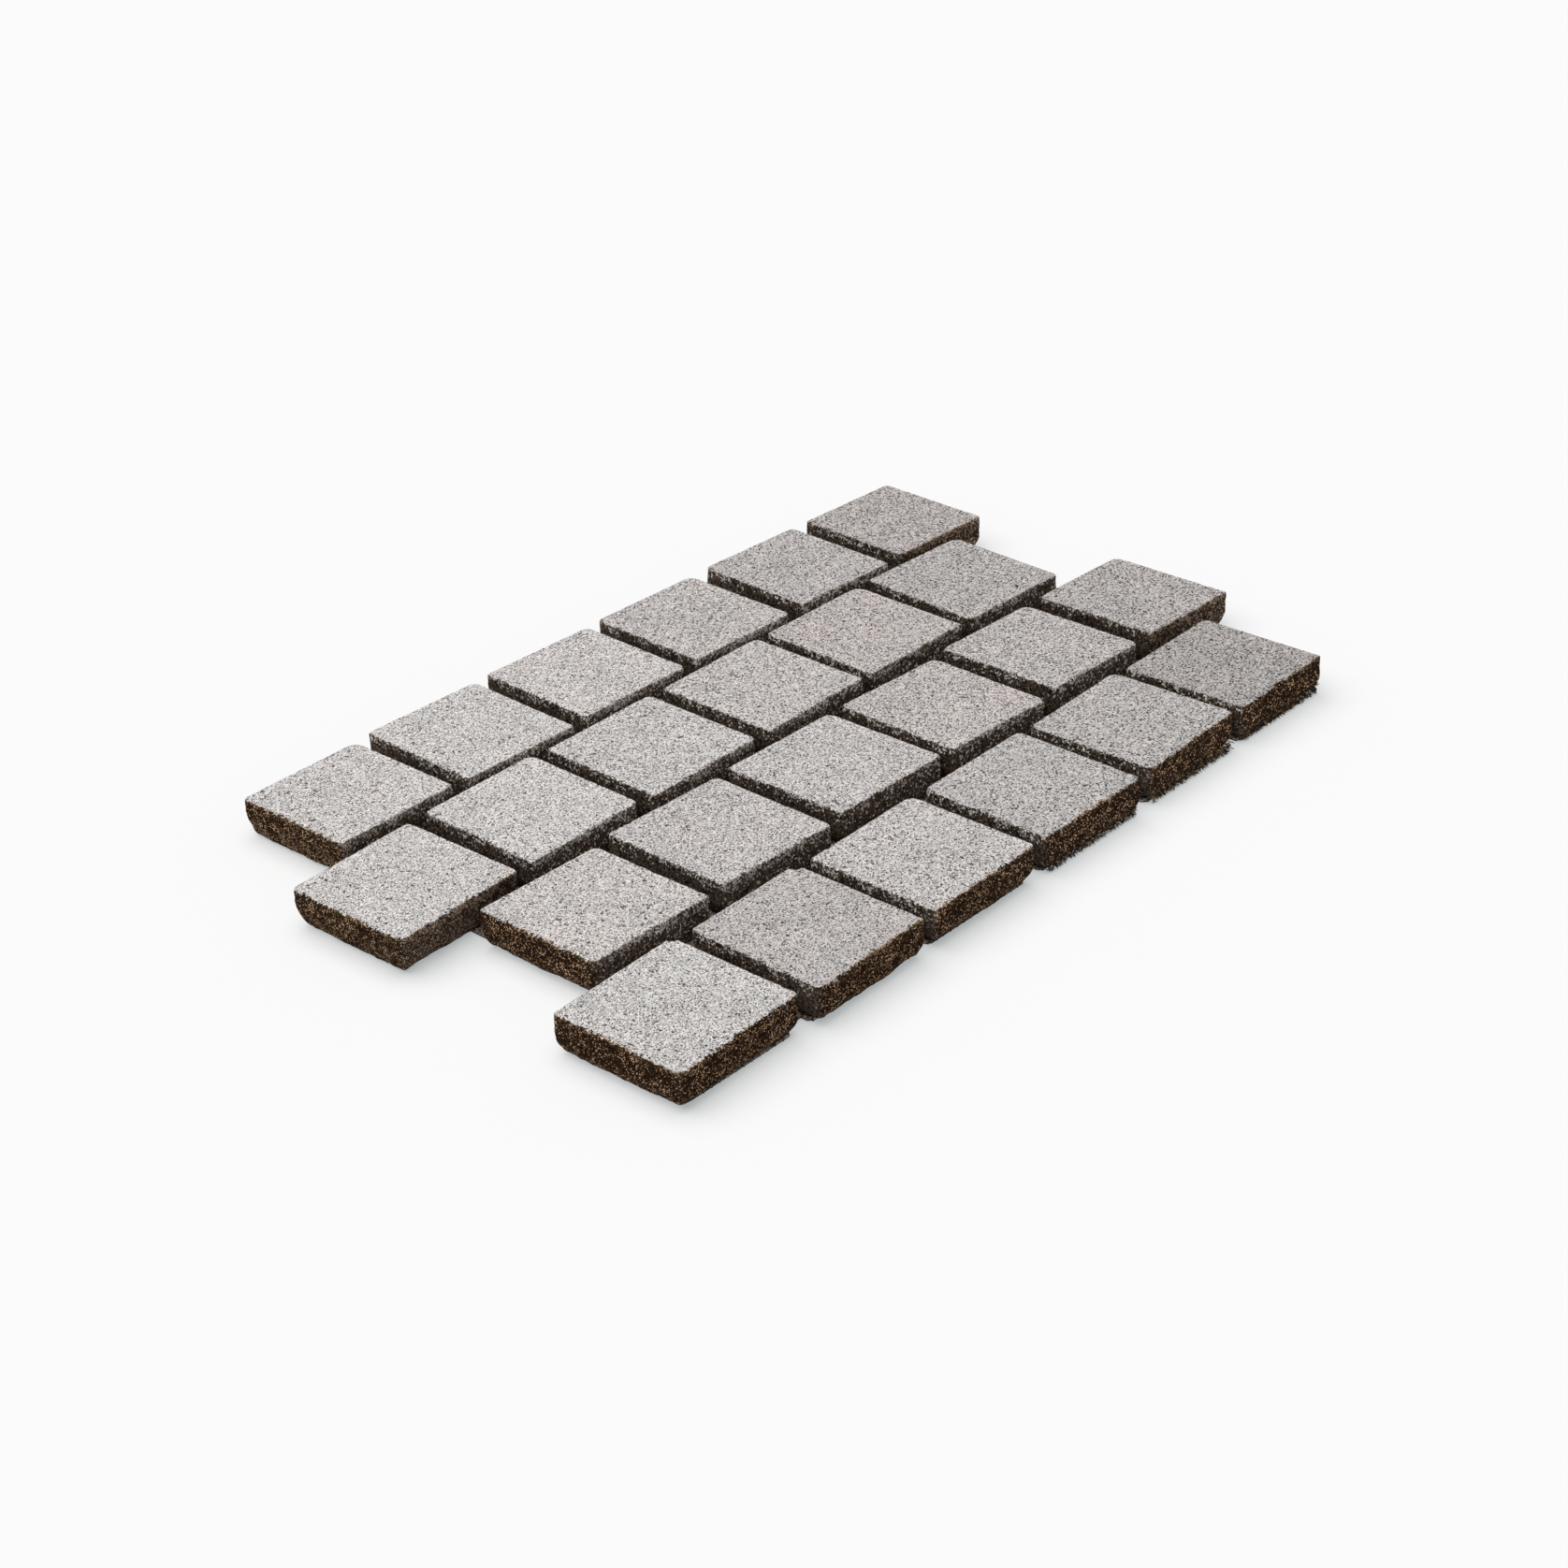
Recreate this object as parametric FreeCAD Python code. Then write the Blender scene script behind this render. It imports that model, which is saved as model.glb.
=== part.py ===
import FreeCAD, Part
import math
import os

# Granite sett mat: four rows of six split-sided setts, laid in stretcher bond on a thin backing sheet.
# X runs along the rows, Y across them and Z up. Sizes are in millimetres, angles in degrees.

# Nominal sett and the joints round it.
SETT_LENGTH = 90.0          # along the row
SETT_WIDTH = 90.0           # across the row
SETT_THICKNESS = 23.0       # from the backing sheet to the flat top face
END_JOINT = 12.0            # between two setts of one row
STAGGER = 50.0              # how far rows 2 and 4 start before rows 1 and 3
ROW_JOINTS = (11.0, 14.0, 15.0)   # between rows 1-2, 2-3 and 3-4

# How far each sett and end joint is over or under its nominal size, and how it lies in its row.
# Row 1 is the far one (+Y) and row 4 the near one. Column 1 is at the -X end.
LENGTH_OVER = ((-1, -2, -1, -1, -3, -4), (2, -2, 1, 0, 2, 1), (-1, -1, 1, -3, -5, -7), (3, -2, 1, 1, 1, 0))
WIDTH_OVER = ((-2, 3, 2, 3, 2, 0), (0, 2, 2, 2, 2, 3), (-2, 1, -1, 1, 1, 1), (0, 3, 1, 1, -1, -2))
JOINT_OVER = ((-1, 0, -1, 3, 2), (0, -2, -1, -4, -2), (1, 0, -2, 2, 3), (-2, -3, -2, -2, -4))
SLIDE_ACROSS = ((-1, 0, 1, 1, 1, -1), (-3, 1, 0, 1, 1, 0), (0, 1, 2, -1, 0, -2), (1, -1, -1, -1, 0, 0))
TURN = ((1, -1, -1, -1, -2, -2), (3, 1, 1, 1, 0, -2), (-1, -2, -1, -3, -2, -2), (2, 1, 1, 0, 2, 1))
START_OVER = (0.0, 0.0, -1.0, 1.0)  # how far each row starts to the +X of its place in the bond
ROW_LEAN = (2.0, 4.0, -1.0, 3.0)  # how far a sett's far side lies to the +X of its near side

# Form of one sett, seen from above and from the side.
CORNER_RADII = (2.0, 2.0, 4.5, 3.0)    # near -X, near +X, far +X and far -X corner of every sett
CORNER_OVER = (0.0, 1.5, -0.5, 0.5, 2.0, -1.0, 1.0)   # added to them, taken in turn
CORNER_FACETS = 3           # small split faces round each corner
UNDERCUT_IN = 4.5           # how far the foot draws in under the split sides
UNDERCUT_HEIGHT = 8.0       # height of the rounded foot
UNDERCUT_STEPS = 3
UNDERCUT_RADIUS_GAIN = 3.0  # the foot's corners are rounder by this
BELLY = 0.5                 # how far the sides stand proud of the top edge
ARRIS_IN = 0.9              # worn top edge, inwards
ARRIS_DOWN = 1.5            # worn top edge, downwards

# Backing sheet.
BACKING_THICKNESS = 2.0
BACKING_INSET = 4.0         # from the nominal near and far faces of the setts to the sheet's edge
BACKING_END_INSET = 8.5     # from the end faces of a row to the sheet's edge
MOUTH_CUT = 7.0             # how far the sheet is cut back where a joint opens at the near or far side
MOUTH_MARGIN = 2.0          # how far that cut goes in under the setts beside it
BACKING_TURN = -0.3         # the sheet lies a little askew under the setts

ROWS = len(LENGTH_OVER)
COLUMNS = len(LENGTH_OVER[0])
UP = FreeCAD.Vector(0, 0, 1)


def corner_radius(row, column, corner):
    """The radius of one upright corner."""
    turn = (row * 5 + column * 3 + corner * 2 + row * column) % len(CORNER_OVER)
    return CORNER_RADII[corner] + CORNER_OVER[turn]


def worn_corner(before, corner, after, radius):
    """Points round one worn corner, on an arc that runs from one side to the next."""
    back = (before - corner).normalize()
    ahead = (after - corner).normalize()
    half_angle = back.getAngle(ahead) / 2.0
    centre = corner + (back + ahead).normalize() * (radius / math.sin(half_angle))
    spoke = corner + back * (radius / math.tan(half_angle)) - centre
    sweep = 180.0 - 2.0 * math.degrees(half_angle)
    points = []
    for step in range(CORNER_FACETS + 1):
        turn = FreeCAD.Rotation(UP, sweep * step / CORNER_FACETS)
        points.append(centre + turn.multVec(spoke))
    return points


def side_profile():
    """Levels of a sett's side from foot to top: height, inset and how much rounder the corners are."""
    levels = []
    for step in range(UNDERCUT_STEPS + 1):
        angle = math.radians(90.0 * step / UNDERCUT_STEPS)
        drawn_in = 1.0 - math.sin(angle)
        height = UNDERCUT_HEIGHT * (1.0 - math.cos(angle))
        levels.append((height, UNDERCUT_IN * drawn_in - BELLY, UNDERCUT_RADIUS_GAIN * drawn_in))
    levels.append((SETT_THICKNESS - ARRIS_DOWN, 0.0, 0.0))
    levels.append((SETT_THICKNESS, ARRIS_IN, 0.0))
    return levels


def sett_outline(row, column, inset, rounder, z):
    """Outline of one sett at height z, drawn in all round by inset."""
    half_length = (SETT_LENGTH + LENGTH_OVER[row][column]) / 2.0 - inset
    half_width = (SETT_WIDTH + WIDTH_OVER[row][column]) / 2.0 - inset
    corners = []
    for side_x, side_y in ((-1, -1), (1, -1), (1, 1), (-1, 1)):
        lean = side_y * ROW_LEAN[row] / 2.0
        corners.append(FreeCAD.Vector(side_x * half_length + lean, side_y * half_width, z))
    points = []
    for i, corner in enumerate(corners):
        radius = corner_radius(row, column, i) + rounder
        points += worn_corner(corners[i - 1], corner, corners[(i + 1) % len(corners)], radius)
    return Part.makePolygon(points + points[:1])


def sett(row, column):
    """One sett, standing on the backing sheet and centred on its own middle."""
    outlines = []
    for height, inset, rounder in side_profile():
        outlines.append(sett_outline(row, column, inset, rounder, BACKING_THICKNESS + height))
    return Part.makeLoft(outlines, True, True)


def row_start(row):
    """Where a row begins along X."""
    return START_OVER[row] - (STAGGER if row % 2 else 0.0)


def row_middle(row):
    """Middle of a row along Y, counted up from the near row."""
    middle = SETT_WIDTH / 2.0
    for joint in ROW_JOINTS[row:]:
        middle += SETT_WIDTH + joint
    return middle


def sett_centres(row):
    """Middle of each sett of a row along X, and where the row ends."""
    centres = []
    x = row_start(row)
    for column in range(COLUMNS):
        length = SETT_LENGTH + LENGTH_OVER[row][column]
        centres.append(x + length / 2.0)
        x += length
        if column < COLUMNS - 1:
            x += END_JOINT + JOINT_OVER[row][column]
    return centres, x


def placed_setts():
    """Every sett where it lies on the sheet, under its node's name."""
    nodes = {}
    for row in range(ROWS):
        for column, x in enumerate(sett_centres(row)[0]):
            shape = sett(row, column)
            shape.rotate(FreeCAD.Vector(0, 0, 0), UP, TURN[row][column])
            shape.translate(FreeCAD.Vector(x, row_middle(row) + SLIDE_ACROSS[row][column], 0))
            nodes["sett_r%d_c%d" % (row + 1, column + 1)] = shape
    return nodes


def slab(x_from, x_to, y_from, y_to):
    """A flat box as thick as the backing sheet."""
    corner = FreeCAD.Vector(x_from, y_from, 0)
    return Part.makeBox(x_to - x_from, y_to - y_from, BACKING_THICKNESS, corner)


def row_sheet(row):
    """The part of the sheet under one row, as where it starts and ends along X and along Y."""
    start = row_start(row) + BACKING_END_INSET
    end = sett_centres(row)[1] - BACKING_END_INSET
    reach = SETT_WIDTH / 2.0 - BACKING_INSET
    return start, end, row_middle(row) - reach, row_middle(row) + reach


def joint_mouths(row, edge, inward):
    """Notches in the sheet where the end joints of an outer row open, inward from its edge."""
    notches = []
    centres, _ = sett_centres(row)
    for column in range(COLUMNS - 1):
        left = centres[column] + (SETT_LENGTH + LENGTH_OVER[row][column]) / 2.0
        right = left + END_JOINT + JOINT_OVER[row][column]
        ends = sorted((edge - inward, edge + inward * MOUTH_CUT))
        notches.append(slab(left - MOUTH_MARGIN, right + MOUTH_MARGIN, ends[0], ends[1]))
    return notches


def backing_sheet():
    """Thin sheet under all the setts, which steps in and out with the rows and is cut back in the joints."""
    rows = [row_sheet(row) for row in range(ROWS)]
    strips = [slab(*row) for row in rows]
    for far, near in zip(rows[:-1], rows[1:]):
        strips.append(slab(max(far[0], near[0]), min(far[1], near[1]), near[3], far[2]))
    sheet = strips[0].multiFuse(strips[1:]).removeSplitter()
    mouths = joint_mouths(0, rows[0][3], -1.0) + joint_mouths(ROWS - 1, rows[-1][2], 1.0)
    sheet = sheet.cut(mouths).removeSplitter().Solids[0]
    sheet.rotate(sheet.BoundBox.Center, UP, BACKING_TURN)
    return sheet


def whole_box(nodes):
    """Box round every node."""
    box = FreeCAD.BoundBox()
    for shape in nodes.values():
        box.add(shape.optimalBoundingBox(False, False))
    return box


def main():
    """Builds every node, puts the origin under the middle of the mat and writes the files."""
    os.makedirs("parts", exist_ok=True)
    nodes = placed_setts()
    nodes["backing_sheet"] = backing_sheet()
    box = whole_box(nodes)
    to_origin = FreeCAD.Vector(-box.Center.x, -box.Center.y, -box.ZMin)
    for name, shape in nodes.items():
        shape.translate(to_origin)
        shape.exportStep("parts/%s.step" % name)
    print("nodes", len(nodes), "size", box.XLength, box.YLength, box.ZLength)


main()
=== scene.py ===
"""Granite sett mat: split setts with flamed tops on a dark net backing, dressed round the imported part."""
import math

import bmesh
import bpy
from bpy.props import FloatProperty, FloatVectorProperty, IntProperty, PointerProperty
from mathutils import Matrix, Vector


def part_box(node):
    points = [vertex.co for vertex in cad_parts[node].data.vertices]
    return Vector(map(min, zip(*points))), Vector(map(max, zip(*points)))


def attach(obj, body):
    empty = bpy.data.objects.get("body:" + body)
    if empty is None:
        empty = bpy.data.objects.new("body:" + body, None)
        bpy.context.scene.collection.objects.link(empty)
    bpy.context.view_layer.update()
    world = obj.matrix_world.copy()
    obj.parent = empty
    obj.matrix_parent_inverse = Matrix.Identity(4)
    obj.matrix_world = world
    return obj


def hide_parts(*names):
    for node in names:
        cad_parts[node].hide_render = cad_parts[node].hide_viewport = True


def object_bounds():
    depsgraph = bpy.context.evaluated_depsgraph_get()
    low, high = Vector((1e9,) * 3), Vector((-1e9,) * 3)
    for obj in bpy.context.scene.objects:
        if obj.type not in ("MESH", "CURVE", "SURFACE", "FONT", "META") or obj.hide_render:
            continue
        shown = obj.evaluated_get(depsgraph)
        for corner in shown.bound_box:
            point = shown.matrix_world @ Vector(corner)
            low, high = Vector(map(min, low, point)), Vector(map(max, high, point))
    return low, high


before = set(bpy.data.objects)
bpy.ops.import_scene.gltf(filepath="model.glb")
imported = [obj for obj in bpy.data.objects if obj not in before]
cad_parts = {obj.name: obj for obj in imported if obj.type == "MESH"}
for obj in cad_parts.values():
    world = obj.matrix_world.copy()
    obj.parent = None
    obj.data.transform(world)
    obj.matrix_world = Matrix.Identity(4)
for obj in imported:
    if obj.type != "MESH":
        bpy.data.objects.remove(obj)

bl_info = {
    "name": "Granite sett mat",
    "version": (1, 0, 0),
    "blender": (4, 5, 0),
    "location": "View3D > Sidebar > Sett Mat",
    "description": "Builds flamed and split granite setts on their net backing, and a plain stage for them",
    "category": "Mesh",
}

MAT_LOW, MAT_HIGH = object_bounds()
SETT_NODES = sorted(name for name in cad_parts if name.startswith("sett_"))
SHEET_NODE = "backing_sheet"
TOP_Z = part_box(SETT_NODES[0])[1].z
FOOT_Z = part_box(SETT_NODES[0])[0].z
MM = 0.001

# Setts whose feet are worn away unlike the others': how far they draw in and from how high, as shares.
FOOT_WEAR = {"sett_r1_c1": (0.95, 1.8), "sett_r2_c1": (1.25, 1.8)}
# Knocked corners, two at most on a sett: which one it is along X and Y, and how far the chip reaches.
KNOCKED = {"sett_r4_c1": ((1, 1, 5.0 * MM), (1, -1, 4.5 * MM)), "sett_r4_c2": ((1, 1, 6.0 * MM),),
           "sett_r2_c1": ((-1, -1, 4.0 * MM),), "sett_r1_c1": ((1, -1, 4.0 * MM),)}
# Setts that are lighter or darker than their place in the mat gives.
TONE_OVER = {"sett_r1_c2": 0.05, "sett_r1_c3": 0.06, "sett_r3_c1": -0.06, "sett_r3_c2": -0.04,
             "sett_r4_c1": -0.05, "sett_r4_c2": -0.16, "sett_r4_c4": -0.06, "sett_r4_c5": -0.02,
             "sett_r4_c6": -0.1}
# Painted light and shade on the bare end face of a sett: how much lighter or darker it is painted than its
# other split sides.
END_PAINTED_LIGHT = {"sett_r1_c1": 0.01, "sett_r2_c1": -0.01, "sett_r4_c1": -0.02}
# Setts whose near sides shed fibrous residue.
SHEDDING = ("sett_r4_c4", "sett_r4_c5", "sett_r4_c6")

# How the setts change along the mat: the value at its middle, and the change from its -X to its +X end.
# The tops' tone falls from the -X to the +X end: painted shade for light that falls off along the mat.
TONE_MIDDLE, PAINTED_SHADE_ALONG_MAT = 0.89, -0.34
GRAIN_MIDDLE, GRAIN_CHANGE = 1.0, 0.4
WARMTH_MIDDLE, WARMTH_CHANGE, WARMTH_SPREAD = 0.4, 0.4, 0.4
# Dust in the joints, as shares: the least of it, and what there would be at the mat's far edge.
DUST_LEAST, DUST_FAR = 0.4, 1.3
# How far the inner sides of a sett count as open where its row steps out of the mat's end.
STEPPED_OPEN = 0.7
# What a sett's fixed lots are worked out from: the step from sett to sett, the start and the stretch.
TONE_LOT = (12.9898, 4.1, 43758.5453)
WARMTH_LOT = (7.233, 1.7, 15731.743)
SEED_START, SEED_STEP = 10.0, 3.7

# Sizes of the patterns that shape a sett, and where two of them set in and are full.
CHIP_SIZE, LARGE_CHIP_SIZE, NICK_SIZE = 6.0 * MM, 17.0 * MM, 1.8 * MM
WEAR_SIZE, HUMP_SIZE, HACKLE_SIZE, WAVE_SIZE = 30.0 * MM, 16.0 * MM, 4.5 * MM, 14.0 * MM
CHIP_RANGE, LARGE_CHIP_RANGE = (0.46, 0.74), (0.66, 0.78)
# What the nicks do to the worn arris, what a side's wear does to its chips and to its foot, and what
# the foot's own pattern does: the share where each is least, and where it is most.
ARRIS_NICKS, CHIP_WEAR, FOOT_WEARS, FOOT_WORN = (0.4, 1.6), (0.3, 1.0), (0.35, 1.0), (0.6, 1.4)
HUMP_MIDDLE = 0.46              # humps above this share push out, and the others in
FOOT_CURL = 1.7                 # power that the foot's curve follows
UP_SPACING, ACROSS_SPACING = 1.25, 2.0  # powers that space the rings up the side and over the top
HALF_SETT = 45.0 * MM           # the foot's draw-in is full at this distance from the middle
CORNER_REACH = 47.0 * MM        # corners start at this distance from the middle
FREE_DROP = 6.0 * MM            # the split relief is full at this depth under the top edge
WAVE_EDGE = 4.0 * MM            # the top's waves are full at this distance inside its edge
WELD = 0.01 * MM                # points closer than this are one
RINGS_UNDER = 2

# Sizes of the patterns in the stone: shares of its grain, then metres.
CRYSTAL_SHARE, FLAKE_SHARE, SPECK_SHARE, SIDE_SHARE, CRUMB_SHARE = 0.8, 1.8, 1.7, 0.7, 1.2
CLOUD_SIZE, PATCH_SIZE, TEAR_SIZE, BITE_SIZE, PIT_SIZE = 30.0 * MM, 8.0 * MM, 5.0 * MM, 1.5 * MM, 1.6 * MM
# Where they set in and are full.
FLAKE_EDGE, FLAKE_LUCK, SPECK_LUCK = (0.31, 0.41), (0.2, 0.45), (0.972, 0.977)
SIDE_LIGHT, FLECK_LUCK, CRUMB_LUCK, HOLLOWS = (0.05, 0.65), (0.67, 0.82), (0.86, 0.93), (0.38, 0.6)
# The same for bands along the top edge, in millimetres inside it.
TOP_BAND, UPPER_SIDE, RIM_BAND = (-0.6, 0.1), (-8.0, -0.4), (0.2, 1.6)
UNDER_RIM, DUST_LINE = (-3.5, -0.4), (-2.6, -1.0)
# How far the ragged edge swings and how far it lies inwards, in millimetres, the share of its tears that
# an unworn side still has, and the tint of its bare rim.
TEAR_SWING, BITE_SWING, TEAR_INSET, EDGE_INSET, TEAR_LEAST = 5.0, 10.0, 0.4, 0.1, 0.12
RIM_TINT = (0.72, 0.58, 0.43)
WHITE = (1.0, 1.0, 1.0, 1.0)
# Where the clouds and patches let the bare rim, the stain under it and the crumbs show.
RIM_PATCHES, STAIN_PATCHES, CRUMB_PATCHES = (0.4, 0.6), (0.35, 0.6), (0.42, 0.56)
# Where the crystals of the top go from quartz to feldspar and to glints.
CRYSTAL_STOPS = (0.0, 0.45, 0.85)
# The top's tone in the darkest and in the lightest cloud.
CLOUD_TONES = (0.86, 1.14)
# How strongly the patterns show, as shares.
SPECK_DEPTH, BLUSH_DEPTH, STAIN_DEPTH, HOLLOW_DEPTH, DUST_DEPTH = 0.85, 1.8, 0.3, 1.1, 0.45
# What the patches add to a side's light crystals, and how much darker a shut end is.
PATCH_SWING, PATCH_LESS, END_DARKER = 0.5, 0.42, 0.33
# What the rim and the dust add to the crumbs' luck, and what the end takes away.
CRUMB_RIM, CRUMB_DUST, CRUMB_END = 0.5, 0.4, 0.1
# The stone's roughness, how much smoother its top is, and what its crystals add.
STONE_ROUGHNESS, TOP_SMOOTHER, CRYSTAL_ROUGHER, STONE_GLOSS = 0.86, 0.1, 0.06, 0.04
# Depths of the fine relief on the sides and on the top, in millimetres.
PIT_DEPTHS, CRYSTAL_DEPTHS, STONE_DENT = (1.6, 0.3), (0.3, 0.15), 0.9

# The film between the setts: its dust and grit, the heights at which its upper face starts and is
# full, what grit and dust add up to, and the tone of its hollows and lumps.
FILM_DUST_SIZE, GRIT_SIZE, FILM_FACE = 6.0 * MM, 1.2 * MM, (0.9 * MM, 1.3 * MM)
GRIT_PART, DUST_PART, LUMP_TONES = 0.6, 0.8, (0.35, 1.75)
NET_ROUGHNESS, NET_GLOSS, NET_RELIEF, NET_DENT = (0.65, 0.95), 0.3, 0.4, 0.6

# The camera that saw the mat, as fitted to the corners of the setts.
FRAME_PIXELS = 1676
FOCAL_PIXELS = 3045.8
SENSOR_WIDTH = 36.0
CLIP = (0.01, 60.0)             # the nearest and farthest that it sees

FLOOR_HALF = 12.0               # from the middle of the floor to its sides
FLOOR_GAP = 0.05 * MM           # the floor lies this far under the mat, so that no faces coincide
LONGEST_CUT = 0.4               # share of a side of the sheet that a worn corner may take


class Wire:
    """A node's output that can be used in Python arithmetic, in shader and geometry trees alike."""

    def __init__(self, tree, socket):
        self.tree = tree
        self.socket = socket

    def maths(self, operation, *values):
        return self.tree.get("ShaderNodeMath", dict(enumerate(values)), operation=operation)

    def __add__(self, other):
        return self.maths("ADD", self, other)

    def __radd__(self, other):
        return self.maths("ADD", other, self)

    def __sub__(self, other):
        return self.maths("SUBTRACT", self, other)

    def __rsub__(self, other):
        return self.maths("SUBTRACT", other, self)

    def __mul__(self, other):
        return self.maths("MULTIPLY", self, other)

    def __rmul__(self, other):
        return self.maths("MULTIPLY", other, self)

    def __truediv__(self, other):
        return self.maths("DIVIDE", self, other)

    def __rtruediv__(self, other):
        return self.maths("DIVIDE", other, self)

    def __pow__(self, other):
        return self.maths("POWER", self, other)

    def at_least(self, other):
        return self.maths("MAXIMUM", self, other)

    def at_most(self, other):
        return self.maths("MINIMUM", self, other)

    def clamped(self):
        return self.at_least(0.0).at_most(1.0)

    def spread(self, least, most):
        """least where the wire is 0 and most where it is 1."""
        return least + self * (most - least)

    def rise(self, low, high):
        """0 below low, 1 above high and smooth between."""
        return self.tree.get("ShaderNodeMapRange", {0: self, 1: low, 2: high, 3: 0.0, 4: 1.0},
                             interpolation_type="SMOOTHSTEP")


class Tree:
    """Adds nodes to a shader or geometry tree: settings first, then the values or wires of the sockets."""

    def __init__(self, nodes):
        self.nodes = nodes

    def add(self, kind, sockets=None, **settings):
        node = self.nodes.nodes.new(kind)
        for name, value in settings.items():
            setattr(node, name, value)
        for name, value in (sockets or {}).items():
            self.feed(node.inputs[name], value)
        return node

    def feed(self, socket, value):
        if isinstance(value, Wire):
            self.nodes.links.new(value.socket, socket)
        else:
            socket.default_value = value

    def get(self, kind, sockets=None, out=0, **settings):
        return Wire(self, self.add(kind, sockets, **settings).outputs[out])

    def vector(self, operation, *values, out=0):
        return self.get("ShaderNodeVectorMath", dict(enumerate(values)), out, operation=operation)

    def scaled(self, vector, amount):
        """A vector times a number."""
        return self.get("ShaderNodeVectorMath", {0: vector, "Scale": amount}, operation="SCALE")

    def parts(self, vector):
        """The X, Y and Z of a vector."""
        return [Wire(self, out) for out in self.add("ShaderNodeSeparateXYZ", {0: vector}).outputs]

    def joined(self, x=0.0, y=0.0, z=0.0):
        """A vector from its X, Y and Z."""
        return self.get("ShaderNodeCombineXYZ", {0: x, 1: y, 2: z})

    def noise(self, vector, size, detail=2.0, roughness=0.5, seed=0.0):
        """Cloud noise whose features are about size metres across."""
        sockets = {"Vector": vector, "W": seed, "Scale": 1.0 / size, "Detail": detail,
                   "Roughness": roughness}
        return self.get("ShaderNodeTexNoise", sockets, noise_dimensions="4D")

    def cells(self, vector, size, out="Distance"):
        """Voronoi cells about size metres across: the distance from their middles, or their colours."""
        return self.get("ShaderNodeTexVoronoi", {"Vector": vector, "Scale": 1.0 / size}, out)

    def chance(self, vector, size, which=0):
        """A random share for each cell: which of the three that its colour holds."""
        return self.get("ShaderNodeSeparateColor", {0: self.cells(vector, size, "Color")}, which)

    def blend(self, factor, a, b):
        """Colour a where factor is 0 and b where it is 1."""
        node = self.add("ShaderNodeMix", data_type="RGBA")
        self.feed(node.inputs[0], factor)
        self.feed(node.inputs[6], a)
        self.feed(node.inputs[7], b)
        return Wire(self, node.outputs[2])

    def ramp(self, factor, stops):
        """A colour ramp from (place, colour) stops."""
        node = self.add("ShaderNodeValToRGB")
        band = node.color_ramp
        band.elements[0].position, band.elements[0].color = stops[0]
        band.elements[1].position, band.elements[1].color = stops[-1]
        for place, colour in stops[1:-1]:
            band.elements.new(place).color = colour
        self.feed(node.inputs[0], factor)
        return Wire(self, node.outputs[0])

    def dent(self, shader, height, strength):
        """Relief of a height in metres on a shader's surface."""
        bump = self.get("ShaderNodeBump", {"Height": height, "Distance": 1.0, "Strength": strength})
        self.feed(shader.inputs["Normal"], bump)

    def store(self, shape, name, value):
        """Keeps a number on every point of a shape, under a name that its material reads."""
        sockets = {"Geometry": shape, "Name": name, "Value": value}
        return self.get("GeometryNodeStoreNamedAttribute", sockets, data_type="FLOAT", domain="POINT")

    def close(self, shape, material):
        """Ends a geometry tree: the shape is made real and gets its material."""
        shape = self.get("GeometryNodeRealizeInstances", {"Geometry": shape})
        shape = self.get("GeometryNodeSetMaterial", {"Geometry": shape, "Material": material})
        self.add("NodeGroupOutput", {0: shape})
        return self.nodes


def colour(red, green, blue):
    """A linear colour from the 0 to 255 values that a screen shows."""
    return tuple((v / 255.0 / 12.92) if v <= 10 else ((v / 255.0 + 0.055) / 1.055) ** 2.4
                 for v in (red, green, blue)) + (1.0,)


LENGTH = {"subtype": "DISTANCE", "unit": "LENGTH", "precision": 5}
COLOUR = {"subtype": "COLOR", "size": 4, "min": 0.0, "max": 1.0}


class SettSettings(bpy.types.PropertyGroup):
    """Form of the setts."""

    foot_in: FloatProperty(name="Foot draw-in", default=4.1 * MM, min=0.0, **LENGTH,
                           description="How far the foot draws in under the split sides")
    foot_height: FloatProperty(name="Foot height", default=9.0 * MM, min=MM, **LENGTH,
                               description="Height of the rounded foot")
    foot_corner: FloatProperty(name="Foot corner", default=0.08, min=0.0, max=0.5,
                               description="How much more the foot's corners draw in")
    arris: FloatProperty(name="Arris wear", default=0.3 * MM, min=0.0, **LENGTH,
                         description="Least width of the worn top edge")
    chip: FloatProperty(name="Chip width", default=1.3 * MM, min=0.0, **LENGTH,
                        description="How far the chips bite into the top edge")
    big_chip: FloatProperty(name="Large chip width", default=2.4 * MM, min=0.0, **LENGTH,
                            description="How far the few large chips bite in")
    chip_drop: FloatProperty(name="Chip steepness", default=2.2, min=0.5,
                             description="How deep a chip is for its width")
    relief: FloatProperty(name="Split relief", default=1.5 * MM, min=0.0, **LENGTH,
                          description="Height of the broad humps on the split sides")
    hackle: FloatProperty(name="Hackle relief", default=0.9 * MM, min=0.0, **LENGTH,
                          description="Height of the small humps on the split sides")
    top_wave: FloatProperty(name="Top wave", default=0.25 * MM, min=0.0, **LENGTH,
                            description="Depth of the shallow waves on the flamed top")
    around: IntProperty(name="Points around", default=400, min=24,
                        description="Mesh columns round a sett")
    up: IntProperty(name="Rings up the side", default=18, min=4,
                    description="Mesh rings from foot to top edge")
    across: IntProperty(name="Rings on the top", default=14, min=4,
                        description="Mesh rings from top edge to middle")


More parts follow.
